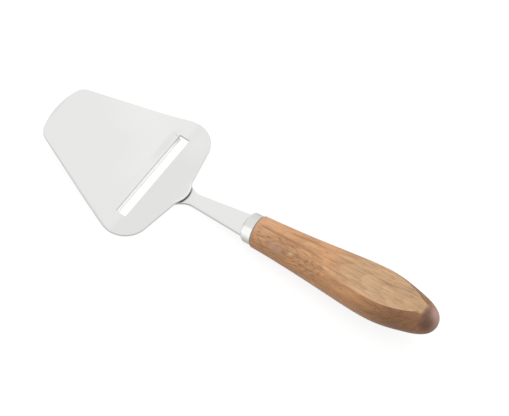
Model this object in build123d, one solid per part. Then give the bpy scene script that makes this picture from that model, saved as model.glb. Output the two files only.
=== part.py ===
from build123d import *
import os
from math import atan2, cos, degrees, radians, sin

# Cheese slicer with a turned wooden handle.
# The tool is drawn along its handle axis: X runs from the slicing plate to the butt,
# with X = 0 where the wood meets the ferrule, Y is the side and Z is up.
# At the end the whole tool is tipped to lie on a table, as it rests by itself.

# Sheet: one stamping makes the plate, the neck, the shank and the tang
sheet_thickness = 1.5
edge_round = 0.3

# Slicing plate, distances in the stamping plane from the neck towards the front
plate_length = 83.8
front_corner_reach = 80.3
front_corner_half_width = 18.5
front_corner_radius = 8.0
lobe_reach = 5.6
lobe_half_width = 48.3
lobe_radius = 15.0

# Plate profile: flat in front, then curved up to the neck
plate_slope = 18.0
neck_slope = 2.3
curve_length = 42.0
neck_x = -50.3
neck_z = -0.25

# Neck and pressed step, distances from the neck towards the handle
neck_corner_reach = 2.0
neck_corner_half_width = 6.9
neck_corner_radius = 4.0
waist_reach = 7.6
waist_half_width = 4.0
waist_radius = 8.0
step_apex = 4.6
step_radius = 12.0
step_half_width = 7.5
step_drop = 1.0
step_wall = 1.2

# Shank and tang
shank_end_half_width = 7.3
tang_length = 58.0
tang_half_width = 4.0
tang_tip_half_width = 2.5
shoulder_round = 1.0

# Slicing slot and its lip
slot_centre = 18.4
slot_width = 6.4
slot_half_length = 30.4
slot_corner_radius = 0.7
lip_relief = 1.3
lip_run = 4.0
lip_dip = 0.7
lip_edge_reach = 1.3
lip_edge_drop = 0.9
lip_land = 0.08

# Ferrule
ferrule_length = 5.7
ferrule_radius = 8.6
ferrule_wall = 0.8
ferrule_front_round = 1.4
ferrule_rear_round = 0.25

# Handle
handle_length = 109.0
handle_shoulder_radius = 9.2
handle_shoulder_rise = 0.03
handle_stations = (22.0, 43.5, 63.0, 78.5, 93.5)
handle_radii = (10.4, 12.1, 13.8, 14.0, 11.3)
shoulder_edge_round = 0.8
ridge_round = 0.5
flat_start = 20.0
flat_start_height = 10.1
flat_end = 95.0
flat_end_height = 9.5
spigot_length = 4.4

# Rest: rounds in which the tilt settles
rest_rounds = 8

# Fits
ferrule_fit = 0.05
slit_fit = 0.12
tang_fit = 0.12
shoulder_fit = 0.05

# Derived geometry of the plate profile
total_turn = radians(plate_slope - neck_slope)
curve_radius = curve_length / total_turn
stamping_slope = plate_slope / 2
stamping_plane = Plane(
    origin=(neck_x, 0, neck_z),
    x_dir=(cos(radians(stamping_slope)), 0, -sin(radians(stamping_slope))),
    z_dir=(sin(radians(stamping_slope)), 0, cos(radians(stamping_slope))),
)
stamping_depth = 60.0
sheet_margin = 10.0
tang_overlap = 1.0
long_edge = 1.95


def curve_point(distance, depth=0.0):
    """Point of the plate in the XZ plane, at a distance ahead of the neck and a depth below its top."""
    turn = radians(neck_slope) + min(distance, curve_length) / curve_radius
    centre_x = neck_x + curve_radius * sin(radians(neck_slope))
    centre_z = neck_z + curve_radius * cos(radians(neck_slope))
    reach = curve_radius + depth
    straight = max(distance - curve_length, 0.0)
    x = centre_x - reach * sin(turn) - straight * cos(turn)
    z = centre_z - reach * cos(turn) + straight * sin(turn)
    return (x, z)


def slope_at(distance):
    """Slope of the plate in degrees, at a distance ahead of the neck."""
    return neck_slope + degrees(min(distance, curve_length) / curve_radius)


def across(section):
    """Extrude a section of the XZ plane to both sides, wider than the plate."""
    return extrude(section, amount=lobe_half_width + sheet_margin, both=True)


def plate_sheet():
    """The curved sheet of the plate, not yet cut to its outline."""
    front = plate_length + sheet_margin
    beyond = -(waist_reach + sheet_margin)
    tail_x = neck_x - beyond * cos(radians(neck_slope))
    tail_z = neck_z + beyond * sin(radians(neck_slope))
    low_x = tail_x - sheet_thickness * sin(radians(neck_slope))
    low_z = tail_z - sheet_thickness * cos(radians(neck_slope))
    middle = curve_length / 2
    with BuildSketch(Plane.XZ) as section:
        with BuildLine():
            Line(curve_point(front), curve_point(curve_length))
            ThreePointArc(curve_point(curve_length), curve_point(middle), curve_point(0))
            Line(curve_point(0), (tail_x, tail_z))
            Line((tail_x, tail_z), (low_x, low_z))
            Line((low_x, low_z), curve_point(0, sheet_thickness))
            ThreePointArc(
                curve_point(0, sheet_thickness),
                curve_point(middle, sheet_thickness),
                curve_point(curve_length, sheet_thickness),
            )
            Line(curve_point(curve_length, sheet_thickness), curve_point(front, sheet_thickness))
            Line(curve_point(front, sheet_thickness), curve_point(front))
        make_face()
    return across(section.sketch)


def stamped(sketch):
    """Prism of a stamping-plane sketch, through the whole sheet."""
    return extrude(stamping_plane * sketch, amount=stamping_depth, both=True)


def blank_outline():
    """Outline of the plate, neck and shank in the stamping plane."""
    shank_reach = -neck_x
    ferrule_reach = -ferrule_length - neck_x
    growth = (shank_end_half_width - waist_half_width) / (ferrule_reach - waist_reach)
    shank_half_width = waist_half_width + growth * (shank_reach - waist_reach)
    side = [
        (-front_corner_reach, front_corner_half_width),
        (-lobe_reach, lobe_half_width),
        (neck_corner_reach, neck_corner_half_width),
        (waist_reach, waist_half_width),
        (shank_reach, shank_half_width),
    ]
    other_side = [(x, -y) for x, y in reversed(side)]
    with BuildSketch() as outline:
        with BuildLine():
            Polyline(*side, *other_side)
            ThreePointArc(other_side[-1], (-plate_length, 0), side[0])
        make_face()
        radii = (front_corner_radius, lobe_radius, neck_corner_radius, waist_radius)
        for (x, y), radius in zip(side, radii):
            pair = [outline.vertices().sort_by_distance(corner)[0] for corner in ((x, y), (x, -y))]
            fillet(pair, radius)
    return outline.sketch


def step_region(radius):
    """Part of the neck that lies beyond an arc about the centre of the pressed step."""
    length = -neck_x + tang_length
    centre = step_apex - step_radius
    start = centre + radius - (step_apex - neck_corner_reach)
    beyond = Pos(start + length / 2, 0) * Rectangle(length, 2 * step_half_width)
    return beyond - Pos(centre, 0) * Circle(radius)


def shank_start():
    """Top of the shank at the apex of the pressed step, in the XZ plane."""
    x = neck_x + step_apex * cos(radians(neck_slope))
    z = neck_z - step_apex * sin(radians(neck_slope)) - step_drop
    return (x, z)


def shank_sheet():
    """The straight sheet of the shank, rising to the handle axis at the ferrule."""
    half = sheet_thickness / 2
    x, z = shank_start()
    slope = atan2(half - z, -ferrule_length - x)
    back = 2 * step_wall + (step_apex - neck_corner_reach)
    start = (x - back, z - back * slope)
    shoulder = -spigot_length - shoulder_fit
    with BuildSketch(Plane.XZ) as section:
        with BuildLine():
            Polyline(
                start,
                (-ferrule_length, half),
                (shoulder, half),
                (shoulder, -half),
                (-ferrule_length, -half),
                (start[0], start[1] - sheet_thickness),
                close=True,
            )
        make_face()
    return across(section.sketch)


def tang():
    """Flat tang that is held in the wood, tapering to its tip."""
    start = -spigot_length - shoulder_fit - tang_overlap
    with BuildSketch() as outline:
        with BuildLine():
            Polyline(
                (start, tang_half_width),
                (0, tang_half_width),
                (tang_length, tang_tip_half_width),
                (tang_length, -tang_tip_half_width),
                (0, -tang_half_width),
                (start, -tang_half_width),
                close=True,
            )
        make_face()
        fillet(outline.vertices().sort_by(Axis.X)[-2:], shoulder_round)
    return extrude(outline.sketch, amount=sheet_thickness / 2, both=True)


def slot_opening():
    """Cross slot that the slice passes through."""
    slot = Pos(-slot_centre, 0) * RectangleRounded(slot_width, 2 * slot_half_length, slot_corner_radius)
    return stamped(slot)


def lip_plane():
    """Plane on the top face at the front edge of the slot, with X towards the handle."""
    distance = slot_centre + slot_width / 2
    x, z = curve_point(distance)
    slope = radians(slope_at(distance))
    return Plane(origin=(x, 0, z), x_dir=(cos(slope), 0, -sin(slope)), z_dir=(0, -1, 0))


def lip():
    """Lip at the front of the slot, pressed down and ground to an edge that faces the handle."""
    half_length = slot_half_length - lip_relief
    dip_slope = 2 * atan2(lip_dip, lip_run)
    heel = (-sheet_thickness * sin(dip_slope), -lip_dip - sheet_thickness * cos(dip_slope))
    edge = (lip_edge_reach, -sheet_thickness - lip_edge_drop)
    with BuildSketch(lip_plane()) as section:
        with BuildLine():
            TangentArc((-lip_run, 0), (0, -lip_dip), tangent=(1, 0))
            Line((0, -lip_dip), (edge[0], edge[1] + lip_land))
            Line((edge[0], edge[1] + lip_land), edge)
            Line(edge, heel)
            TangentArc((-lip_run, -sheet_thickness), heel, tangent=(1, 0))
            Line((-lip_run, -sheet_thickness), (-lip_run, 0))
        make_face()
    return extrude(section.sketch, amount=half_length, both=True)


def lip_space():
    """Room taken from the plate for the pressed lip."""
    half_length = slot_half_length - lip_relief
    height = 2 * sheet_margin
    with BuildSketch(lip_plane()) as section:
        with Locations((-lip_run / 2, 0)):
            Rectangle(lip_run, height)
    return extrude(section.sketch, amount=half_length, both=True)


def eased(sheet):
    """Take the sharpness off the long edges of a cut sheet."""
    long_edges = [edge for edge in sheet.edges() if edge.length > long_edge]
    return fillet(long_edges, edge_round)


def make_blade():
    """Slicing plate, neck, shank and tang, all of one sheet."""
    outline = blank_outline()
    plate = eased(plate_sheet() & stamped(outline))
    plate -= stamped(step_region(step_radius))
    shank = eased(shank_sheet() & stamped(outline))
    shank &= stamped(step_region(step_radius - step_wall))
    plate -= slot_opening()
    plate -= lip_space()
    return plate + lip() + shank + tang()


def make_ferrule():
    """Drawn collar with a closed front, slit for the shank."""
    inner_radius = ferrule_radius - ferrule_wall
    behind = (Align.CENTER, Align.CENTER, Align.MAX)
    shell = Rot(0, 90, 0) * Cylinder(ferrule_radius, ferrule_length, align=behind)
    front = shell.edges().filter_by(GeomType.CIRCLE).sort_by(Axis.X)[0]
    shell = fillet(front, ferrule_front_round)
    rear = shell.edges().filter_by(GeomType.CIRCLE).sort_by(Axis.X)[-1]
    shell = fillet(rear, ferrule_rear_round)
    depth = ferrule_length - ferrule_wall
    inside = Rot(0, 90, 0) * Cylinder(inner_radius, depth, align=behind)
    slit_width = 2 * (shank_end_half_width + 2 * slit_fit)
    slit_height = sheet_thickness + 2 * slit_fit
    slit = Pos(-ferrule_length, 0, 0) * Box(3 * ferrule_wall, slit_width, slit_height)
    return shell - inside - slit


def handle_flat(side):
    """Block that planes one long flat on the handle, above or below."""
    fall = degrees(atan2(flat_start_height - flat_end_height, flat_end - flat_start))
    plane = Plane((flat_start, 0, flat_start_height)).rotated((0, fall, 0))
    width = 4 * max(handle_radii)
    above = (Align.CENTER, Align.CENTER, Align.MIN)
    block = plane * Box(3 * handle_length, width, width, align=above)
    if side < 0:
        block = mirror(block, about=Plane.XY)
    return block


def make_handle():
    """Turned handle with a spigot for the ferrule, a slot for the tang and two planed flats."""
    spigot_radius = ferrule_radius - ferrule_wall - ferrule_fit
    stations = zip(handle_stations, handle_radii)
    profile = [(0, handle_shoulder_radius), *stations, (handle_length, 0)]
    with BuildSketch() as half_section:
        with BuildLine():
            Line((-spigot_length, 0), (-spigot_length, spigot_radius))
            Line((-spigot_length, spigot_radius), (0, spigot_radius))
            Line((0, spigot_radius), (0, handle_shoulder_radius))
            Spline(*profile, tangents=((1, handle_shoulder_rise), (0, -1)))
            Line((handle_length, 0), (-spigot_length, 0))
        make_face()
    body = revolve(half_section.sketch, axis=Axis.X)
    shoulder = body.edges().filter_by(GeomType.CIRCLE).sort_by(SortBy.RADIUS)[-1]
    body = fillet(shoulder, shoulder_edge_round)
    for side in (1, -1):
        body -= handle_flat(side)
    flats = body.faces().filter_by(GeomType.PLANE).sort_by(SortBy.AREA)[-2:]
    body = fillet([edge for flat in flats for edge in flat.edges()], ridge_round)
    start = -spigot_length - tang_overlap
    with BuildSketch() as slot:
        with BuildLine():
            Polyline(
                (start, tang_half_width + tang_fit),
                (0, tang_half_width + tang_fit),
                (tang_length + tang_fit, tang_tip_half_width + tang_fit),
                (tang_length + tang_fit, -tang_tip_half_width - tang_fit),
                (0, -tang_half_width - tang_fit),
                (start, -tang_half_width - tang_fit),
                close=True,
            )
        make_face()
    return body - extrude(slot.sketch, amount=sheet_thickness / 2 + tang_fit, both=True)


def lowest(shapes):
    """Lowest height of some shapes."""
    return min(shape.bounding_box().min.Z for shape in shapes)


def rest_tilt(blade, holder):
    """Tilt in degrees that sets the plate and the front of the holder down on one level table."""
    lever = -ferrule_length - neck_x + slot_centre + slot_width / 2
    tilt = plate_slope / 2
    for _ in range(rest_rounds):
        turn = Rot(0, -tilt, 0)
        tilt += degrees(atan2(lowest([turn * blade]) - lowest([turn * part for part in holder]), lever))
    return tilt


def on_table(parts):
    """Tip the tool to its rest, stand it on Z = 0 and centre it over the origin."""
    turn = Rot(0, -rest_tilt(parts["blade"], [parts["ferrule"], parts["handle"]]), 0)
    tipped = {name: turn * part for name, part in parts.items()}
    boxes = [part.bounding_box() for part in tipped.values()]
    middle = (min(box.min.X for box in boxes) + max(box.max.X for box in boxes)) / 2
    lift = -lowest(tipped.values())
    return {name: Pos(-middle, 0, lift) * part for name, part in tipped.items()}


parts = on_table({"blade": make_blade(), "ferrule": make_ferrule(), "handle": make_handle()})

os.makedirs("parts", exist_ok=True)
for name, part in parts.items():
    export_step(part, f"parts/{name}.step")
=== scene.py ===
import logging
import math
from dataclasses import dataclass
from enum import Enum

import bpy
from mathutils import Matrix, Vector


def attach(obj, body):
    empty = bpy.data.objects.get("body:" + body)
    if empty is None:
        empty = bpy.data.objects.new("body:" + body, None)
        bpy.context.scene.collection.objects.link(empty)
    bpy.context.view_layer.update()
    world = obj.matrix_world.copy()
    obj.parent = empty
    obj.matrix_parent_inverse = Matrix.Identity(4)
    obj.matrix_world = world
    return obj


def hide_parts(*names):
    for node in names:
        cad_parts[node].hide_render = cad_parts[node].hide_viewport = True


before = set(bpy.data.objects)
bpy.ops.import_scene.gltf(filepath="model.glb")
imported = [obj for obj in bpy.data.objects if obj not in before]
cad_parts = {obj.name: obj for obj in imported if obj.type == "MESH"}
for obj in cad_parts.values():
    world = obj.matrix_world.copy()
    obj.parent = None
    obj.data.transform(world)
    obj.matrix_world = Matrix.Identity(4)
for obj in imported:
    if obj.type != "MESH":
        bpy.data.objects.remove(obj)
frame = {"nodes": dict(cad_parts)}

# Looks of the cheese slicer: satin steel plate, bright steel collar and oiled wooden handle.
# Finishes and pieces are measured in millimetres on the handle's own axes: along it from the start
# of the wood, with the blade on the minus side, then aside, then up. The studio is in metres.
LOG = logging.getLogger("cheese_slicer")
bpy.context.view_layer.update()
MM = 0.001
BODY = "root"

# The handle axis: the tool is tipped on the table, and its wood starts at this point
TOOL_TILT = math.radians(6.813447)
TOOL_ORIGIN = Vector((12.5608, 0.0, 9.0701)) * MM

Socket = bpy.types.NodeSocket
Value = Socket | float
Pair = tuple[float, float]
Triple = tuple[float, float, float]


class Grain(Enum):
    """Direction that a texture is drawn out along, as scale factors on the tool's axes."""

    ALONG_TOOL = (0.03, 1.0, 1.0)
    WOOD_FIGURE = (0.11, 1.0, 1.0)
    WOOD_FLECK = (0.16, 1.0, 1.0)
    EVEN = (1.0, 1.0, 1.0)


class Rays(Enum):
    """Outputs of the Light Path node that see the white background."""

    CAMERA = "Is Camera Ray"
    GLOSSY = "Is Glossy Ray"
    TRANSMISSION = "Is Transmission Ray"


class Facing(Enum):
    """Outputs of the Geometry node that say which way the surface looks."""

    SMOOTH = "Normal"
    FLAT = "True Normal"


@dataclass(frozen=True)
class Patch:
    """Soft patch on a surface.

    Its centre and its half sizes are given along, aside and up. The core is the share of its reach
    at which it starts to fade, and the strength is how much it changes the surface.
    """

    centre: Triple
    reach: Triple
    strength: float
    core: float = 0.0


@dataclass(frozen=True)
class Stroke:
    """Long thin mark on the top of the handle, between two points given along and aside."""

    start: Pair
    end: Pair
    half_width: float
    strength: float


def rgba(colour: Triple) -> tuple[float, float, float, float]:
    """Add full opacity to a colour."""
    return (*colour, 1.0)


class NodeSheet:
    """A node tree with short ways to add and join its nodes."""

    def __init__(self, tree: bpy.types.NodeTree) -> None:
        """Wrap the shader node tree to write in."""
        self.tree = tree

    def add(self, kind: str, **settings: object) -> bpy.types.Node:
        """Add one node.

        Args:
            kind: the node's type name.
            settings: attributes to set on the node.

        Returns:
            The new node.
        """
        node = self.tree.nodes.new(kind)
        for name, value in settings.items():
            setattr(node, name, value)
        return node

    def join(self, source: Socket, target: Socket) -> None:
        """Link an output to an input."""
        self.tree.links.new(source, target)

    def feed(self, target: Socket, value: object) -> None:
        """Link a socket to an input, or set the input's own value.

        Args:
            target: the input.
            value: a socket, a number or a colour.
        """
        if isinstance(value, Socket):
            self.join(value, target)
        else:
            target.default_value = value

    def math(self, operation: str, first: Value, second: Value = 0.0) -> Socket:
        """Work out one Math node of two values.

        Args:
            operation: the Math node's operation.
            first: a socket or a number.
            second: a socket or a number.

        Returns:
            The result's socket.
        """
        node = self.add("ShaderNodeMath", operation=operation)
        self.feed(node.inputs[0], first)
        self.feed(node.inputs[1], second)
        return node.outputs[0]

    def plus(self, first: Value, second: Value) -> Socket:
        """Add two values."""
        return self.math("ADD", first, second)

    def minus(self, first: Value, second: Value) -> Socket:
        """Take the second value from the first."""
        return self.math("SUBTRACT", first, second)

    def product(self, *factors: Value) -> Socket:
        """Multiply any number of values.

        Args:
            factors: sockets or numbers.

        Returns:
            The result's socket.
        """
        result = factors[0]
        for factor in factors[1:]:
            result = self.math("MULTIPLY", result, factor)
        return result

    def distance(self, first: Value, second: Value) -> Socket:
        """Length of the long side over two sides at right angles."""
        squares = self.plus(self.product(first, first), self.product(second, second))
        return self.math("SQRT", squares)

    def straight(self, along: Value, start: Pair, end: Pair) -> Socket:
        """Straight line read at a distance along it.

        Args:
            along: where the line is read.
            start: one point of the line, along and aside.
            end: another one.

        Returns:
            The socket of how far aside the line is there.
        """
        slope = (end[1] - start[1]) / (end[0] - start[0])
        return self.plus(self.product(along, slope), start[1] - slope * start[0])

    def span(
        self, value: Value, low: float, high: float, start: float = 0.0, end: float = 1.0
    ) -> Socket:
        """Map a value smoothly from one range to another, clamped.

        Args:
            value: a socket or a number.
            low: the value that gives start.
            high: the value that gives end.
            start: the result at low.
            end: the result at high.

        Returns:
            The result's socket.
        """
        node = self.add("ShaderNodeMapRange", interpolation_type="SMOOTHSTEP")
        self.feed(node.inputs["Value"], value)
        for name, number in (("From Min", low), ("From Max", high), ("To Min", start), ("To Max", end)):
            node.inputs[name].default_value = number
        return node.outputs["Result"]

    def fade(self, value: Value, low: float, high: float) -> Socket:
        """Mask that falls smoothly from 1 to 0 between two values."""
        return self.span(value, low, high, 1.0, 0.0)

    def band(self, value: Value, centre: float, reach: float, core: float) -> Socket:
        """Mask around one value.

        Args:
            value: a socket or a number.
            centre: the value in the middle of the band.
            reach: distance from the centre at which the mask ends.
            core: distance from the centre at which it starts to fade.

        Returns:
            The mask's socket.
        """
        away = self.math("ABSOLUTE", self.minus(value, centre))
        return self.fade(away, core, reach)

    def shift(self, level: Value, mask: Value, change: float) -> Socket:
        """Add a change to a level where a mask is set."""
        return self.plus(level, self.product(mask, change))

    def toward(self, level: Value, mask: Value, goal: float) -> Socket:
        """Move a level to a goal where a mask is set."""
        gap = self.minus(goal, level)
        return self.plus(level, self.product(gap, mask))

    def blend(self, share: Value, first: object, second: object, how: str = "MIX") -> Socket:
        """Mix two colours.

        Args:
            share: how much of the second colour shows, a socket or a number.
            first: a socket or a colour.
            second: a socket or a colour.
            how: the blend type.

        Returns:
            The mixed colour's socket.
        """
        node = self.add("ShaderNodeMix", data_type="RGBA", blend_type=how)
        self.feed(node.inputs[0], share)
        self.feed(node.inputs[6], first)
        self.feed(node.inputs[7], second)
        return node.outputs[2]

    def grey(self, level: Socket) -> Socket:
        """Turn a level into a grey colour.

        Args:
            level: the socket of the level.

        Returns:
            The colour's socket.
        """
        node = self.add("ShaderNodeCombineColor")
        for channel in ("Red", "Green", "Blue"):
            self.join(level, node.inputs[channel])
        return node.outputs[0]

    def place(self, stretch: Grain = Grain.EVEN, offset: Triple = (0.0, 0.0, 0.0)) -> Socket:
        """Object coordinates in millimetres on the handle's axes, drawn out in one direction.

        Args:
            stretch: the direction the texture is drawn out along.
            offset: millimetres added on each axis.

        Returns:
            The vector's socket.
        """
        coordinates = self.add("ShaderNodeTexCoord")
        upright = self.add("ShaderNodeMapping", vector_type="TEXTURE")
        upright.inputs["Location"].default_value = TOOL_ORIGIN
        upright.inputs["Rotation"].default_value = (0.0, -TOOL_TILT, 0.0)
        upright.inputs["Scale"].default_value = (MM, MM, MM)
        self.join(coordinates.outputs["Object"], upright.inputs["Vector"])
        if stretch is Grain.EVEN and not any(offset):
            return upright.outputs["Vector"]
        drawn = self.add("ShaderNodeMapping")
        drawn.inputs["Location"].default_value = offset
        drawn.inputs["Scale"].default_value = stretch.value
        self.join(upright.outputs["Vector"], drawn.inputs["Vector"])
        return drawn.outputs["Vector"]

    def axes(self, vector: Socket) -> tuple[Socket, ...]:
        """Split a vector into its three parts.

        Args:
            vector: the vector's socket.

        Returns:
            The three sockets.
        """
        node = self.add("ShaderNodeSeparateXYZ")
        self.join(vector, node.inputs[0])
        return tuple(node.outputs)

    def facing(self, kind: Facing) -> tuple[Socket, ...]:
        """Three parts of the surface normal."""
        return self.axes(self.add("ShaderNodeNewGeometry").outputs[kind.value])

    def noise(self, vector: Socket, scale: float, detail: float = 2.0, warp: float = 0.0) -> Socket:
        """Noise of one scale, about 0.5 on average.

        Args:
            vector: where the noise is read.
            scale: features per unit of the vector.
            detail: octaves.
            warp: distortion of the noise.

        Returns:
            The value's socket.
        """
        node = self.add("ShaderNodeTexNoise")
        self.join(vector, node.inputs["Vector"])
        node.inputs["Scale"].default_value = scale
        node.inputs["Detail"].default_value = detail
        node.inputs["Distortion"].default_value = warp
        return node.outputs["Fac"]

    def away_from(self, centre: Triple, reach: Triple) -> Socket:
        """Distance from a point, as a share of the reach.

        Args:
            centre: the point, along, aside and up.
            reach: half sizes at which the distance is 1.

        Returns:
            The distance's socket.
        """
        own = self.add("ShaderNodeMapping", vector_type="TEXTURE")
        own.inputs["Location"].default_value = centre
        own.inputs["Scale"].default_value = reach
        self.join(self.place(), own.inputs["Vector"])
        length = self.add("ShaderNodeVectorMath", operation="LENGTH")
        self.join(own.outputs["Vector"], length.inputs[0])
        return length.outputs["Value"]

    def spot(self, patch: Patch) -> Socket:
        """Mask of a soft patch on the surface."""
        return self.fade(self.away_from(patch.centre, patch.reach), patch.core, 1.0)

    def ramp(self, value: Socket, stops: tuple[Pair, ...]) -> Socket:
        """Level that follows a list of stops.

        Args:
            value: the socket that picks the level, from 0 to 1.
            stops: places from 0 to 1, each with its level of 2 at most.

        Returns:
            The level's socket.
        """
        node = self.add("ShaderNodeValToRGB")
        elements = node.color_ramp.elements
        while len(elements) < len(stops):
            elements.new(0.5)
        # a ramp clamps at 1, so it holds half of each level
        for element, (position, level) in zip(elements, stops):
            element.position = position
            element.color = rgba((level / 2,) * 3)
        self.join(value, node.inputs["Fac"])
        return self.product(node.outputs["Color"], 2.0)

    def bump(self, height: Socket, strength: float, depth_mm: float) -> Socket:
        """Turn a height into a bumped normal.

        Args:
            height: the socket of the height.
            strength: share of the bump that shows.
            depth_mm: millimetres that a height of 1 stands for.

        Returns:
            The normal's socket.
        """
        node = self.add("ShaderNodeBump")
        node.inputs["Strength"].default_value = strength
        node.inputs["Distance"].default_value = depth_mm * MM
        self.join(height, node.inputs["Height"])
        return node.outputs["Normal"]


def effect_group(
    name: str, inputs: dict[str, float], outputs: dict[str, str]
) -> tuple[bpy.types.NodeTree, NodeSheet, dict[str, Socket], dict[str, Socket]]:
    """Start a shader node group with named sockets.

    Args:
        name: the group's name.
        inputs: value inputs with their usual values.
        outputs: outputs with their socket types.

    Returns:
        The group, its sheet, its input sockets and its output sockets by name.
    """
    group = bpy.data.node_groups.new(name, "ShaderNodeTree")
    for title, value in inputs.items():
        given = group.interface.new_socket(title, in_out="INPUT", socket_type="NodeSocketFloat")
        given.default_value = value
    for title, kind in outputs.items():
        group.interface.new_socket(title, in_out="OUTPUT", socket_type=kind)
    sheet = NodeSheet(group)
    entry = sheet.add("NodeGroupInput")
    leave = sheet.add("NodeGroupOutput")
    given_sockets = {title: entry.outputs[title] for title in inputs}
    wanted_sockets = {title: leave.inputs[title] for title in outputs}
    return group, sheet, given_sockets, wanted_sockets


def brushed_lines() -> bpy.types.NodeTree:
    """Fine brushed lines of worked steel along the tool, with a slow change of tone.

    Returns:
        The node group, with the outputs Lines, Tone and Height.
    """
    outputs = {"Lines": "NodeSocketFloat", "Tone": "NodeSocketFloat", "Height": "NodeSocketFloat"}
    group, sheet, given, wanted = effect_group("brushed_lines", {"Strength": 1.0}, outputs)
    fine = sheet.noise(sheet.place(Grain.ALONG_TOOL), scale=9.0, detail=3.0)
    broad = sheet.noise(sheet.place(Grain.ALONG_TOOL, offset=(5.0, 7.0, 1.0)), scale=2.2)
    lines = sheet.plus(sheet.product(fine, 0.65), sheet.product(broad, 0.35))
    centred = sheet.product(sheet.minus(lines, 0.5), given["Strength"])
    sheet.join(centred, wanted["Lines"])
    sheet.join(sheet.plus(centred, 0.5), wanted["Height"])
    tone = sheet.noise(sheet.place(Grain.EVEN, offset=(3.0, 2.0, 0.0)), scale=0.035)
    sheet.join(tone, wanted["Tone"])
    return group


def placed(sheet: NodeSheet, group: bpy.types.NodeTree, **values: float) -> bpy.types.Node:
    """Place a node group in a material.

    Args:
        sheet: the material's sheet.
        group: the group to place.
        values: inputs of the group, by name.

    Returns:
        The group node.
    """
    node = sheet.add("ShaderNodeGroup", node_tree=group)
    for name, value in values.items():
        node.inputs[name].default_value = value
    return node


def bare_sheet(owner: bpy.types.Material | bpy.types.World) -> NodeSheet:
    """Give a material or a world an empty node tree.

    Args:
        owner: the material or world.

    Returns:
        The sheet of its tree.
    """
    owner.use_nodes = True
    owner.node_tree.nodes.clear()
    return NodeSheet(owner.node_tree)


def new_material(name: str) -> tuple[bpy.types.Material, NodeSheet, bpy.types.Node]:
    """Make a node material with one Principled shader.

    Args:
        name: the material's name.

    Returns:
        The material, its sheet and its shader node.
    """
    material = bpy.data.materials.new(name)
    sheet = bare_sheet(material)
    shader = sheet.add("ShaderNodeBsdfPrincipled")
    output = sheet.add("ShaderNodeOutputMaterial")
    sheet.join(shader.outputs[0], output.inputs["Surface"])
    return material, sheet, shader


@dataclass(frozen=True)
class SteelFinish:
    """Worked stainless steel."""

    name: str
    colour: Triple
    roughness: float
    line_contrast: float
    tone_contrast: float
    bump_mm: float
    line_strength: float = 1.0
    line_roughness: float = 0.25
    bump_strength: float = 0.5

    def shade(self, sheet: NodeSheet) -> Value:
        """Brightness of the surface from place to place, as a share of the colour."""
        return 1.0

    def material(self, lines: bpy.types.NodeTree) -> bpy.types.Material:
        """Build the material.

        Args:
            lines: the brushed lines group.

        Returns:
            The finished material.
        """
        material, sheet, shader = new_material(self.name)
        brushed = placed(sheet, lines, Strength=self.line_strength)
        tone = sheet.product(sheet.minus(brushed.outputs["Tone"], 0.5), self.tone_contrast)
        streak = sheet.product(brushed.outputs["Lines"], self.line_contrast)
        level = sheet.plus(sheet.plus(tone, streak), 1.0)
        level = sheet.product(level, self.shade(sheet))
        colour = sheet.blend(1.0, rgba(self.colour), sheet.grey(level), "MULTIPLY")
        sheet.join(colour, shader.inputs["Base Color"])
        line_rough = sheet.product(brushed.outputs["Lines"], self.line_roughness)
        sheet.join(sheet.plus(line_rough, self.roughness), shader.inputs["Roughness"])
        shader.inputs["Metallic"].default_value = 1.0
        normal = sheet.bump(brushed.outputs["Height"], self.bump_strength, self.bump_mm)
        sheet.join(normal, shader.inputs["Normal"])
        return material


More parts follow.
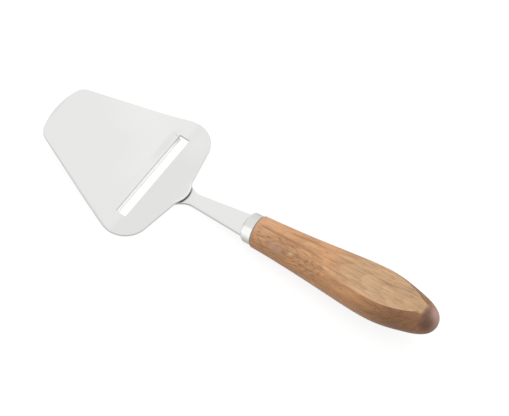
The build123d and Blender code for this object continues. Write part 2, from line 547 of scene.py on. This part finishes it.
@dataclass(frozen=True)
class PlateSteel(SteelFinish):
    """Satin sheet with painted shade on its sheared edges and painted highlight and shade on its lip and
    step.

    A name that ends in x is a distance along the handle axis. The ends of the straight edges are
    given along, with the half width there. A tone is a share of the colour.
    """

    tip_x: float = -131.3
    plate_front: Pair = (-129.6, 18.5)
    plate_rear: Pair = (-55.8, 48.3)
    lip_top_x: float = -71.95
    lip_edge_x: float = -70.8
    lip_half_length: float = 29.2
    slot_middle_x: float = -68.7
    slot_rear_x: float = -65.4
    shank_fade_x: Pair = (-54.0, -40.0)
    step_centre_x: float = -57.7
    step_radius: float = 12.0
    neck_x: float = -50.0
    neck_wall_x: float = -44.0
    waist: Pair = (-42.7, 4.0)
    shank_end: Pair = (-5.7, 7.3)
    satin_tone: float = 0.985
    painted_shade_behind_slot: float = -0.055
    # painted light and shade: tones above 1 are painted highlights, tones below 1 painted shade
    painted_lip_highlight: float = 1.19
    painted_slot_wall_highlight: float = 1.22
    painted_rim_shade: float = 0.9
    painted_wall_shade: float = 0.60
    painted_bend_line_shade: float = 0.72
    painted_edge_line_shade: float = 0.75
    painted_crest_highlight: float = 1.05
    painted_corner_shade: float = 0.25
    painted_neck_wall_shade: float = 0.45
    # painted highlights on the far half, the middle and the rear lobe, and painted shade in a strip in
    # front of the slot
    painted_light_patches: tuple[Patch, ...] = (
        Patch((-92.0, 30.0, 8.0), (40.0, 30.0, 30.0), 0.05),
        Patch((-78.0, 6.0, 3.0), (16.0, 34.0, 20.0), 0.03),
        Patch((-74.5, 20.0, 2.5), (3.4, 17.0, 9.0), -0.07),
        Patch((-59.0, 32.0, 0.0), (14.0, 20.0, 20.0), 0.05),
    )

    def satin(self, sheet: NodeSheet, along: Socket) -> Socket:
        """Slow tones of the satin sheet: painted shade behind the slot and patches of painted highlight and
        shade.

        Args:
            sheet: the sheet to write in.
            along: distance along the handle axis.

        Returns:
            The level's socket.
        """
        # painted shade on the sheet behind the slot, fading out along the shank
        from_slot = sheet.span(along, self.slot_rear_x - 4.0, self.slot_rear_x)
        behind = sheet.minus(from_slot, sheet.span(along, *self.shank_fade_x))
        level = sheet.shift(self.satin_tone, behind, self.painted_shade_behind_slot)
        for patch in self.painted_light_patches:
            level = sheet.shift(level, sheet.spot(patch), patch.strength)
        return level

    def near_rims(self, sheet: NodeSheet, along: Socket, side: Socket) -> Socket:
        """Painted shade mask of rims rolled by the shears on the near edges of plate and shank and at the
        tip.

        Args:
            sheet: the sheet to write in.
            along: distance along the handle axis.
            side: distance aside from it.

        Returns:
            The mask's socket.
        """
        past_plate = sheet.plus(side, sheet.straight(along, self.plate_front, self.plate_rear))
        plate_middle_x = (self.plate_front[0] + self.plate_rear[0]) / 2
        plate_rim = sheet.product(
            sheet.band(past_plate, 0.3, reach=1.2, core=0.4),
            sheet.band(along, plate_middle_x, reach=32.0, core=24.0),
        )
        past_shank = sheet.plus(side, sheet.straight(along, self.waist, self.shank_end))
        waist_x = self.waist[0]
        shank_rim = sheet.product(
            sheet.band(past_shank, 0.2, reach=1.0, core=0.3),
            sheet.span(along, waist_x, waist_x + 4.0),
        )
        tip_rim = sheet.span(along, self.tip_x + 1.1, self.tip_x + 0.5, end=0.8)
        return sheet.math("MAXIMUM", sheet.math("MAXIMUM", plate_rim, shank_rim), tip_rim)

    def lip_and_sides(
        self, sheet: NodeSheet, level: Socket, along: Socket, side: Socket, steep: Socket, outward: Socket
    ) -> Socket:
        """Painted highlight on the lip and slot walls; painted shade on rims, sheared sides and the lip's
        two lines.

        Args:
            sheet: the sheet to write in.
            level: the level so far.
            along: distance along the handle axis.
            side: distance aside from it.
            steep: mask of the walls.
            outward: how far the surface looks to the far side.

        Returns:
            The new level's socket.
        """
        on_lip = sheet.band(side, 0.0, reach=self.lip_half_length + 0.2, core=self.lip_half_length)
        lip_middle_x = (self.lip_top_x + self.lip_edge_x) / 2
        ground = sheet.product(on_lip, sheet.band(along, lip_middle_x, reach=0.75, core=0.6))
        # painted highlight on the ground face of the lip
        level = sheet.toward(level, ground, self.painted_lip_highlight)
        in_slot = sheet.product(on_lip, sheet.band(along, self.slot_middle_x, reach=4.6, core=4.2))
        # painted highlight on the slot's walls
        level = sheet.toward(level, sheet.product(in_slot, steep), self.painted_slot_wall_highlight)
        # painted shade on the near rims
        level = sheet.toward(level, self.near_rims(sheet, along, side), self.painted_rim_shade)
        # painted wall shade: weak on walls that look to the far side, none on the slot's own walls
        not_far = sheet.span(outward, 0.05, 0.45, start=1.0, end=0.1)
        sheared = sheet.product(steep, sheet.minus(1.0, in_slot), not_far)
        level = sheet.toward(level, sheared, self.painted_wall_shade)
        # painted shade lines along the bend and along the cutting edge
        bend_line = sheet.band(along, self.lip_top_x, reach=0.3, core=0.12)
        level = sheet.toward(level, sheet.product(on_lip, bend_line), self.painted_bend_line_shade)
        cutting_edge = sheet.band(along, self.lip_edge_x, reach=0.3, core=0.1)
        return sheet.toward(level, sheet.product(on_lip, cutting_edge), self.painted_edge_line_shade)

    def step(self, sheet: NodeSheet, level: Socket, along: Socket, side: Socket) -> Socket:
        """Pressed step with a painted highlight on its rounded top and painted shade in its inner corner.

        Args:
            sheet: the sheet to write in.
            level: the level so far.
            along: distance along the handle axis.
            side: distance aside from it.

        Returns:
            The new level's socket.
        """
        out = sheet.distance(sheet.minus(along, self.step_centre_x), side)
        behind_plate = sheet.span(along, self.neck_x - 0.6, self.neck_x)
        at_neck = sheet.product(behind_plate, sheet.band(side, 0.0, reach=7.6, core=7.0))
        crest = sheet.product(at_neck, sheet.band(out, self.step_radius - 0.75, reach=0.7, core=0.25))
        # painted highlight on the step's rounded top
        level = sheet.toward(level, crest, self.painted_crest_highlight)
        # painted shade in the step's inner corner, weaker towards the far end
        corner = sheet.product(at_neck, sheet.band(out, self.step_radius + 0.15, reach=0.45, core=0.12))
        far_end = sheet.span(side, 1.0, 6.0, start=1.0, end=0.35)
        near_end = sheet.span(side, -7.5, -5.0, start=0.7, end=1.0)
        return sheet.toward(level, sheet.product(corner, far_end, near_end), self.painted_corner_shade)

    def shade(self, sheet: NodeSheet) -> Socket:
        """Tones of the plate, with painted light and shade on its faces, edges, lip and step.

        Args:
            sheet: the sheet to write in.

        Returns:
            The level's socket.
        """
        along, side, _ = sheet.axes(sheet.place())
        _, outward, upright = sheet.facing(Facing.FLAT)
        steep = sheet.fade(upright, 0.55, 0.97)
        level = self.satin(sheet, along)
        level = self.lip_and_sides(sheet, level, along, side, steep, outward)
        level = self.step(sheet, level, along, side)
        # painted shade on the steep walls at the neck
        neck_wall = sheet.product(steep, sheet.band(along, self.neck_wall_x, reach=5.0, core=2.0))
        return sheet.toward(level, neck_wall, self.painted_neck_wall_shade)


@dataclass(frozen=True)
class CollarSteel(SteelFinish):
    """Polished collar with a painted highlight on one shoulder and painted shade towards its lower side.

    The tones follow a turn round the collar from its underside, at 0, past its far side, its top and
    its near side to its underside again, at 1.
    """

    front_x: float = -7.2
    painted_front_tone: float = 0.78
    joint_width: float = 0.55
    painted_joint_shade: float = 0.22
    # painted highlight on the near shoulder, painted shade on the far side and towards the underside
    tones: tuple[Pair, ...] = (
        (0.0, 0.42),
        (0.30, 0.34),
        (0.37, 0.42),
        (0.43, 0.84),
        (0.50, 0.92),
        (0.58, 0.95),
        (0.605, 1.24),
        (0.655, 1.22),
        (0.70, 0.86),
        (0.745, 0.56),
        (0.80, 0.42),
        (1.0, 0.45),
    )

    def shade(self, sheet: NodeSheet) -> Socket:
        """Painted highlight and shade round the collar and on its front, with a painted shade line where
        the wood starts.

        Args:
            sheet: the sheet to write in.

        Returns:
            The level's socket.
        """
        along, side, up = sheet.axes(sheet.place())
        angle = sheet.math("ARCTAN2", sheet.product(side, -1.0), up)
        turn = sheet.plus(sheet.product(angle, 0.5 / math.pi), 0.5)
        # painted highlight and shade round the collar
        level = sheet.ramp(turn, self.tones)
        # painted tone on the front round, pulled towards a mid grey
        at_front = sheet.span(along, self.front_x, self.front_x + 1.6, start=0.6, end=0.0)
        level = sheet.toward(level, at_front, self.painted_front_tone)
        # painted shade line in the gap where the wood starts
        at_joint = sheet.span(along, -self.joint_width, -self.joint_width / 2)
        return sheet.toward(level, at_joint, self.painted_joint_shade)


@dataclass(frozen=True)
class WoodFinish:
    """Oiled hardwood with a cathedral figure, short flecks, a knot, a dark butt, painted shade and sheen.

    A pair that ends in x says between which distances along the handle its change takes place. A
    change is added to the level of the wood, which is a share of its colour.
    """

    name: str
    throat: Triple
    neck: Triple
    facet: Triple
    flank: Triple
    # painted shade where the flanks turn down towards the butt
    painted_belly_shade: Triple
    streak: Triple
    rosy: Triple
    knot: Triple
    bruise: Triple
    # darker colour near the butt
    dark_near_butt: Triple
    # painted sheen on the tip of the butt
    butt: Triple
    roughness: float
    gloss: float
    planed_x: Pair = (44.0, 68.0)
    neck_x: Pair = (4.0, 16.0)
    facet_x: Pair = (40.0, 64.0)
    belly_x: Pair = (54.0, 92.0)
    ridge_start_x: Pair = (52.0, 66.0)
    ridge_end_x: Pair = (99.0, 103.0)
    heart_side: float = -1.5
    heart_depth: float = 14.0
    heart_slope: float = -0.12
    ring_sway: float = 8.0
    rings_per_mm: float = 0.62
    line_sway: float = 2.4
    level: float = 0.93
    figure_change: float = 0.14
    fibre_change: float = 0.95
    cloud_change: float = 0.6
    pore_change: float = -0.26
    painted_ridge_highlight: float = 0.34
    tick_rate: float = 5.2
    pore_depth: float = -0.4
    bump_strength: float = 0.4
    bump_mm: float = 0.1
    line_end: float = 3.0
    knot_ring_rate: float = 1.7
    knot_rings: Patch = Patch((20.0, -8.0, 7.0), (8.0, 2.2, 2.6), -0.24)
    saw_ticks: Patch = Patch((93.5, -8.0, 8.2), (7.0, 4.0, 1.6), 0.2, 0.5)
    streaks: tuple[Stroke, ...] = (
        Stroke((3.0, -0.8), (41.0, -2.3), 1.3, 0.65),
        Stroke((20.0, 3.2), (40.0, 4.3), 1.0, 0.6),
        Stroke((44.0, -5.0), (64.0, -6.5), 0.8, 0.4),
        Stroke((60.0, 3.5), (84.0, 2.0), 0.8, 0.3),
    )
    rosy_patch: Patch = Patch((15.2, -7.8, 6.1), (7.0, 3.2, 4.0), 0.5, 0.3)
    bruise_patch: Patch = Patch((21.4, -8.0, 6.6), (3.2, 1.4, 1.8), 0.7, 0.1)
    knot_patch: Patch = Patch((25.1, -7.3, 7.7), (2.2, 0.9, 1.3), 0.75, 0.1)
    # painted sheen on the tip of the butt
    painted_tip_sheen_patch: Patch = Patch((107.5, 2.8, 4.0), (8.0, 11.0, 11.0), 0.9, 0.1)
    # darker spots on the near side and the top near the butt
    near_end_patch: Patch = Patch((104.6, -4.6, 4.6), (6.2, 6.6, 6.4), 0.8, 0.2)
    top_end_patch: Patch = Patch((102.8, -0.8, 8.2), (3.8, 5.6, 3.4), 0.7, 0.15)
    # painted shade on the near corner where the flat ends
    painted_corner_shade_patch: Patch = Patch((98.5, -6.0, 7.6), (7.0, 3.2, 3.0), 0.6, 0.2)

    def figure(self, sheet: NodeSheet, along: Socket, side: Socket, up: Socket) -> Socket:
        """Growth rings round the heart of the tree, cut lengthwise.

        Args:
            sheet: the sheet to write in.
            along: distance along the handle axis.
            side: distance aside from it.
            up: distance above it.

        Returns:
            The socket of a level between 0 and 1.
        """
        sway = sheet.noise(sheet.place(Grain.WOOD_FIGURE), scale=0.2, detail=3.0, warp=0.5)
        sway_mm = sheet.product(sheet.minus(sway, 0.5), self.ring_sway)
        across = sheet.plus(sheet.minus(side, self.heart_side), sway_mm)
        deep = sheet.plus(sheet.plus(up, self.heart_depth), sheet.product(along, self.heart_slope))
        radius = sheet.distance(across, deep)
        rings = sheet.math("FRACT", sheet.product(radius, self.rings_per_mm))
        return sheet.minus(sheet.span(rings, 0.0, 0.8), sheet.span(rings, 0.85, 1.0))

    def rings_at_knot(self, sheet: NodeSheet) -> Socket:
        """Thin dark rings drawn out along the handle round the knot.

        Args:
            sheet: the sheet to write in.

        Returns:
            The mask's socket.
        """
        out = sheet.away_from(self.knot_rings.centre, self.knot_rings.reach)
        waver = sheet.product(sheet.noise(sheet.place(Grain.WOOD_FLECK), scale=0.6), self.line_sway)
        rings = sheet.math("FRACT", sheet.plus(sheet.product(out, self.knot_ring_rate), waver))
        thin = sheet.band(rings, 0.5, reach=0.28, core=0.04)
        # they start outside the heart of the knot and die away within about four times its reach
        return sheet.product(thin, sheet.fade(out, 2.6, 4.2), sheet.span(out, 0.3, 0.9))

    def line(self, sheet: NodeSheet, stroke: Stroke) -> Socket:
        """Wavering line on the top of the handle.

        Args:
            sheet: the sheet to write in.
            stroke: where it runs.

        Returns:
            The mask's socket.
        """
        along, side, up = sheet.axes(sheet.place())
        middle = sheet.straight(along, stroke.start, stroke.end)
        waver = sheet.noise(sheet.place(Grain.WOOD_FLECK), scale=0.7)
        waver_mm = sheet.product(sheet.minus(waver, 0.5), self.line_sway)
        away = sheet.minus(sheet.minus(side, middle), waver_mm)
        across = sheet.band(away, 0.0, reach=stroke.half_width, core=stroke.half_width * 0.2)
        centre_x = (stroke.start[0] + stroke.end[0]) / 2
        half_length = (stroke.end[0] - stroke.start[0]) / 2
        full, fading = half_length - self.line_end, half_length + self.line_end
        inside = sheet.band(along, centre_x, reach=fading, core=full)
        return sheet.product(across, inside, sheet.span(up, 3.0, 6.0))

    def base(self, sheet: NodeSheet, along: Socket, upright: Socket) -> Socket:
        """Broad colours of the wood from the collar to the butt and from the top to the flanks, with
        painted shade.

        Args:
            sheet: the sheet to write in.
            along: distance along the handle axis.
            upright: how far the surface looks up.

        Returns:
            The colour's socket.
        """
        # the near and far flanks start softly at the neck and sharply at the ridges of the flat
        planed = sheet.span(along, *self.planed_x)
        soft_flank = sheet.toward(sheet.fade(upright, 0.35, 0.85), planed, 0.0)
        flank = sheet.plus(soft_flank, sheet.product(planed, sheet.fade(upright, 0.87, 0.96)))
        neck = sheet.blend(sheet.span(along, *self.neck_x), rgba(self.throat), rgba(self.neck))
        top = sheet.blend(sheet.span(along, *self.facet_x), neck, rgba(self.facet))
        # the flanks darken to a painted shade towards the butt
        low = sheet.blend(sheet.span(along, *self.belly_x), rgba(self.flank), rgba(self.painted_belly_shade))
        return sheet.blend(flank, top, low)

    def grained(
        self, sheet: NodeSheet, figure: Socket, fibre: Socket, pores: Socket, along: Socket, upright: Socket
    ) -> Socket:
        """Brightness of the wood from its grain, a painted highlight on its ridges and the tool marks on
        them.

        Args:
            sheet: the sheet to write in.
            figure: level of the growth rings.
            fibre: noise of the fibres.
            pores: mask of the pores.
            along: distance along the handle axis.
            upright: how far the surface looks up.

        Returns:
            The level's socket.
        """
        cloud = sheet.noise(sheet.place(Grain.WOOD_FIGURE, offset=(2.0, 5.0, 1.0)), scale=0.35, detail=3.0)
        level = sheet.shift(self.level, figure, self.figure_change)
        level = sheet.shift(level, sheet.minus(fibre, 0.5), self.fibre_change)
        level = sheet.shift(level, sheet.minus(cloud, 0.5), self.cloud_change)
        level = sheet.shift(level, pores, self.pore_change)
        level = sheet.shift(level, self.rings_at_knot(sheet), self.knot_rings.strength)
        # painted highlight along the ridges of the flat, and the saw ticks below the near one
        ridge = sheet.product(
            sheet.band(upright, 0.955, reach=0.045, core=0.015),
            sheet.span(along, *self.ridge_start_x),
            sheet.fade(along, *self.ridge_end_x),
        )
        level = sheet.shift(level, ridge, self.painted_ridge_highlight)
        comb = sheet.math("SINE", sheet.product(along, self.tick_rate))
        ticks = sheet.product(comb, sheet.spot(self.saw_ticks))
        return sheet.shift(level, ticks, self.saw_ticks.strength)

    def marked(self, sheet: NodeSheet, colour: Socket) -> Socket:
        """Lay streaks, a rosy patch, a bruise, a pale knot, dark spots by the butt, painted shade and
        sheen.

        Args:
            sheet: the sheet to write in.
            colour: the colour so far.

        Returns:
            The new colour's socket.
        """
        for stroke in self.streaks:
            share = sheet.product(self.line(sheet, stroke), stroke.strength)
            colour = sheet.blend(share, colour, rgba(self.streak))
        # the tip has a painted sheen and the flat's near corner painted shade
        for patch, tint in (
            (self.rosy_patch, self.rosy),
            (self.bruise_patch, self.bruise),
            (self.knot_patch, self.knot),
            (self.painted_tip_sheen_patch, self.butt),
            (self.near_end_patch, self.dark_near_butt),
            (self.top_end_patch, self.dark_near_butt),
            (self.painted_corner_shade_patch, self.painted_belly_shade),
        ):
            share = sheet.product(sheet.spot(patch), patch.strength)
            colour = sheet.blend(share, colour, rgba(tint))
        return colour

    def material(self) -> bpy.types.Material:
        """Build the material.

        Returns:
            The finished material.
        """
        material, sheet, shader = new_material(self.name)
        along, side, up = sheet.axes(sheet.place())
        upright = sheet.facing(Facing.SMOOTH)[2]
        colour = self.base(sheet, along, upright)
        figure = self.figure(sheet, along, side, up)
        fibre = sheet.noise(sheet.place(Grain.ALONG_TOOL), scale=2.4, detail=4.0)
        fleck = sheet.noise(sheet.place(Grain.WOOD_FLECK, offset=(4.0, 9.0, 2.0)), scale=2.2, detail=3.0)
        pores = sheet.span(fleck, 0.56, 0.68)
        level = self.grained(sheet, figure, fibre, pores, along, upright)
        colour = sheet.blend(1.0, colour, sheet.grey(level), "MULTIPLY")
        sheet.join(self.marked(sheet, colour), shader.inputs["Base Color"])
        shader.inputs["Roughness"].default_value = self.roughness
        shader.inputs["Specular IOR Level"].default_value = self.gloss
        height = sheet.shift(fibre, pores, self.pore_depth)
        normal = sheet.bump(height, self.bump_strength, self.bump_mm)
        sheet.join(normal, shader.inputs["Normal"])
        return material


PLATE_STEEL = PlateSteel(
    "satin_plate_steel",
    colour=(0.82, 0.82, 0.81),
    roughness=0.32,
    line_contrast=0.03,
    tone_contrast=0.03,
    bump_mm=0.01,
)
FERRULE_STEEL = CollarSteel(
    "bright_ferrule_steel",
    colour=(0.78, 0.78, 0.76),
    roughness=0.2,
    line_contrast=0.04,
    tone_contrast=0.02,
    bump_mm=0.01,
)
HANDLE_WOOD = WoodFinish(
    "oiled_handle_wood",
    throat=(0.58, 0.32, 0.175),
    neck=(0.54, 0.288, 0.142),
    facet=(0.465, 0.288, 0.16),
    flank=(0.60, 0.308, 0.145),
    painted_belly_shade=(0.28, 0.132, 0.062),
    streak=(0.30, 0.14, 0.065),
    rosy=(0.54, 0.33, 0.25),
    knot=(0.72, 0.55, 0.43),
    bruise=(0.28, 0.16, 0.13),
    dark_near_butt=(0.10, 0.046, 0.034),
    butt=(0.46, 0.29, 0.26),
    roughness=0.5,
    gloss=0.35,
)


def dress(piece: bpy.types.Object, material: bpy.types.Material) -> None:
    """Give a piece its finish and report it.

    Args:
        piece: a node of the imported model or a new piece.
        material: its finish.
    """
    piece.data.materials.clear()
    piece.data.materials.append(material)
    LOG.info("dressed %s with %s", piece.name, material.name)


@dataclass
class Collar:
    """Drawn steel collar on the wood's spigot, with a round front that the shank passes through.

    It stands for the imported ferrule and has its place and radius, with the longer, softer front of
    the real one.
    """

    length: float = 7.2
    radius: float = 8.6
    wall: float = 0.6
    front_round: float = 3.0
    slit_half_width: float = 7.35
    slit_height: float = 1.75
    slit_drop: float = 0.08
    vertices: int = 128
    round_segments: int = 8
    smooth_degrees: float = 30.0

    def pick(self, collar: bpy.types.Object, level: float) -> None:
        """Select the end face of the upright collar at one height, in edit mode.

        Args:
            collar: the collar, before it is turned.
            level: the face's height in metres.
        """
        bpy.ops.object.mode_set(mode="EDIT")
        bpy.ops.mesh.select_mode(type="FACE")
        bpy.ops.mesh.select_all(action="DESELECT")
        bpy.ops.object.mode_set(mode="OBJECT")
        close, flat = 0.01 * MM, 0.99
        for face in collar.data.polygons:
            face.select = abs(face.center.z - level) < close and abs(face.normal.z) > flat
        bpy.ops.object.mode_set(mode="EDIT")

    def stand(self, piece: bpy.types.Object, along: float, drop: float = 0.0) -> None:
        """Turn an upright piece onto the handle axis, and apply its place to its mesh.

        Args:
            piece: the piece, modelled round the origin.
            along: distance of its middle along the handle axis.
            drop: distance of its middle below the handle axis.
        """
        cosine, sine = math.cos(TOOL_TILT), math.sin(TOOL_TILT)
        place = Vector((along * cosine + drop * sine, 0.0, along * sine - drop * cosine))
        piece.rotation_euler = (0.0, math.pi / 2 - TOOL_TILT, 0.0)
        piece.location = TOOL_ORIGIN + place * MM
        bpy.ops.object.transform_apply(location=True, rotation=True, scale=True)

    def shell(self) -> bpy.types.Object:
        """Model the drawn shell, open towards the wood.

        Returns:
            The shell, on the handle axis.
        """
        half = self.length * MM / 2
        wall = self.wall * MM
        bpy.ops.object.select_all(action="DESELECT")
        bpy.ops.mesh.primitive_cylinder_add(
            vertices=self.vertices, radius=self.radius * MM, depth=2 * half
        )
        collar = bpy.context.object
        collar.name = "collar"
        self.pick(collar, half)
        bpy.ops.mesh.inset(thickness=wall)
        bpy.ops.mesh.extrude_region_move(TRANSFORM_OT_translate={"value": (0.0, 0.0, wall - 2 * half)})
        # the inner corner has a round of its own, because a sharp one would stick out of the outer round
        for level, round_mm in ((wall - half, self.front_round - self.wall), (-half, self.front_round)):
            self.pick(collar, level)
            bpy.ops.mesh.bevel(
                offset=round_mm * MM, segments=self.round_segments, profile=0.5, affect="EDGES"
            )
        bpy.ops.object.mode_set(mode="OBJECT")
        self.stand(collar, -self.length / 2)
        return collar

    def cut_slit(self, collar: bpy.types.Object) -> None:
        """Cut the slit that the shank passes through in the front wall.

        Args:
            collar: the shell, on the handle axis.
        """
        bpy.ops.object.select_all(action="DESELECT")
        bpy.ops.mesh.primitive_cube_add(size=1.0)
        cutter = bpy.context.object
        cutter.scale = (self.slit_height * MM, 2 * self.slit_half_width * MM, 3 * self.wall * MM)
        self.stand(cutter, -self.length + self.wall / 2, self.slit_drop)
        bpy.ops.object.select_all(action="DESELECT")
        collar.select_set(True)
        bpy.context.view_layer.objects.active = collar
        slit = collar.modifiers.new("slit", "BOOLEAN")
        slit.operation = "DIFFERENCE"
        slit.object = cutter
        bpy.ops.object.modifier_apply(modifier=slit.name)
        bpy.data.objects.remove(cutter)

    def build(self, material: bpy.types.Material) -> None:
        """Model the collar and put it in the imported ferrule's place.

        Args:
            material: its finish.
        """
        collar = self.shell()
        self.cut_slit(collar)
        bpy.ops.object.shade_smooth_by_angle(angle=math.radians(self.smooth_degrees))
        dress(collar, material)
        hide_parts("ferrule")
        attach(collar, BODY)
        LOG.info("built %s with %d faces", collar.name, len(collar.data.polygons))


@dataclass
class Tool:
    """The slicer's three pieces."""

    nodes: dict[str, bpy.types.Object]

    def build(self) -> None:
        """Dress the blade and the handle, and build the collar."""
        lines = brushed_lines()
        dress(self.nodes["blade"], PLATE_STEEL.material(lines))
        dress(self.nodes["handle"], HANDLE_WOOD.material())
        Collar().build(FERRULE_STEEL.material(lines))


@dataclass
class Studio:
    """Floor, sky and lamp, in metres."""

    floor_side: float = 12.0
    floor_tone: float = 0.25
    floor_glow: float = 0.82
    sky_top: float = 1.2
    sky_side: float = 0.32
    sky_turn: float = 0.8
    key_place: Triple = (-0.5, 0.9, 1.1)
    key_side: float = 0.9
    key_watts: float = 5.0

    def white_rays(self, sheet: NodeSheet) -> Socket:
        """Share of rays that see the white background.

        Args:
            sheet: the sheet to write in.

        Returns:
            The socket that is 1 for camera, glossy and transmission rays.
        """
        path = sheet.add("ShaderNodeLightPath")
        first = sheet.math("MAXIMUM", path.outputs[Rays.CAMERA.value], path.outputs[Rays.GLOSSY.value])
        return sheet.math("MAXIMUM", first, path.outputs[Rays.TRANSMISSION.value])

    def floor(self) -> None:
        """Lay the pale floor that keeps the shadow."""
        bpy.ops.object.select_all(action="DESELECT")
        bpy.ops.mesh.primitive_plane_add(size=self.floor_side)
        floor = bpy.context.object
        floor.name = "floor"
        material = bpy.data.materials.new("pale_floor")
        sheet = bare_sheet(material)
        diffuse = sheet.add("ShaderNodeBsdfDiffuse")
        diffuse.inputs["Color"].default_value = rgba((self.floor_tone,) * 3)
        glow = sheet.add("ShaderNodeEmission")
        sheet.join(sheet.product(self.white_rays(sheet), self.floor_glow), glow.inputs["Strength"])
        both = sheet.add("ShaderNodeAddShader")
        sheet.join(diffuse.outputs[0], both.inputs[0])
        sheet.join(glow.outputs[0], both.inputs[1])
        output = sheet.add("ShaderNodeOutputMaterial")
        sheet.join(both.outputs[0], output.inputs["Surface"])
        floor.data.materials.append(material)

    def sky(self) -> None:
        """Set the soft sky: white to look at, dimmer towards the horizon as a light."""
        world = bpy.data.worlds.new("studio_sky")
        bpy.context.scene.world = world
        sheet = bare_sheet(world)
        height = sheet.axes(sheet.add("ShaderNodeTexCoord").outputs["Generated"])[2]
        lit = sheet.span(height, 0.0, self.sky_turn, self.sky_side, self.sky_top)
        background = sheet.add("ShaderNodeBackground")
        background.inputs["Color"].default_value = (1.0, 1.0, 1.0, 1.0)
        sheet.join(sheet.toward(lit, self.white_rays(sheet), 1.0), background.inputs["Strength"])
        output = sheet.add("ShaderNodeOutputWorld")
        sheet.join(background.outputs[0], output.inputs["Surface"])

    def key(self) -> None:
        """Hang the soft square lamp that points at the tool and that the steel doesn't mirror."""
        light = bpy.data.lights.new("soft_key", "AREA")
        light.shape = "SQUARE"
        light.size = self.key_side
        light.energy = self.key_watts
        lamp = bpy.data.objects.new("soft_key", light)
        bpy.context.scene.collection.objects.link(lamp)
        lamp.location = self.key_place
        lamp.visible_glossy = False
        lamp.rotation_euler = (-Vector(self.key_place)).to_track_quat("-Z", "Y").to_euler()
        LOG.info("hung %s", lamp.name)

    def build(self) -> None:
        """Set up the whole studio."""
        self.floor()
        self.sky()
        self.key()


@dataclass
class Viewpoint:
    """Camera where the photograph was taken from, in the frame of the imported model."""

    place_mm: Triple = (200.926, -370.851, 701.590)
    right: Triple = (0.83266, 0.54994, 0.06511)
    up: Triple = (-0.49764, 0.69148, 0.52365)
    toward: Triple = (0.24296, -0.46843, 0.84944)
    lens_mm: float = 107.308
    sensor_mm: float = 36.0
    nearest: float = 0.01

    def build(self) -> None:
        """Create the camera and make it the scene's own."""
        data = bpy.data.cameras.new("viewpoint")
        data.sensor_fit = "HORIZONTAL"
        data.sensor_width = self.sensor_mm
        data.lens = self.lens_mm
        data.clip_start = self.nearest
        camera = bpy.data.objects.new("viewpoint", data)
        bpy.context.scene.collection.objects.link(camera)
        turn = Matrix((self.right, self.up, self.toward)).transposed().to_4x4()
        camera.matrix_world = Matrix.Translation(Vector(self.place_mm) * MM) @ turn
        bpy.context.scene.camera = camera


def main() -> None:
    """Build the looks in order."""
    logging.basicConfig(level=logging.INFO, format="%(name)s: %(message)s")
    bpy.context.scene.view_settings.view_transform = "Standard"
    Viewpoint().build()
    Studio().build()
    Tool(frame["nodes"]).build()


if __name__ == "__main__":
    main()
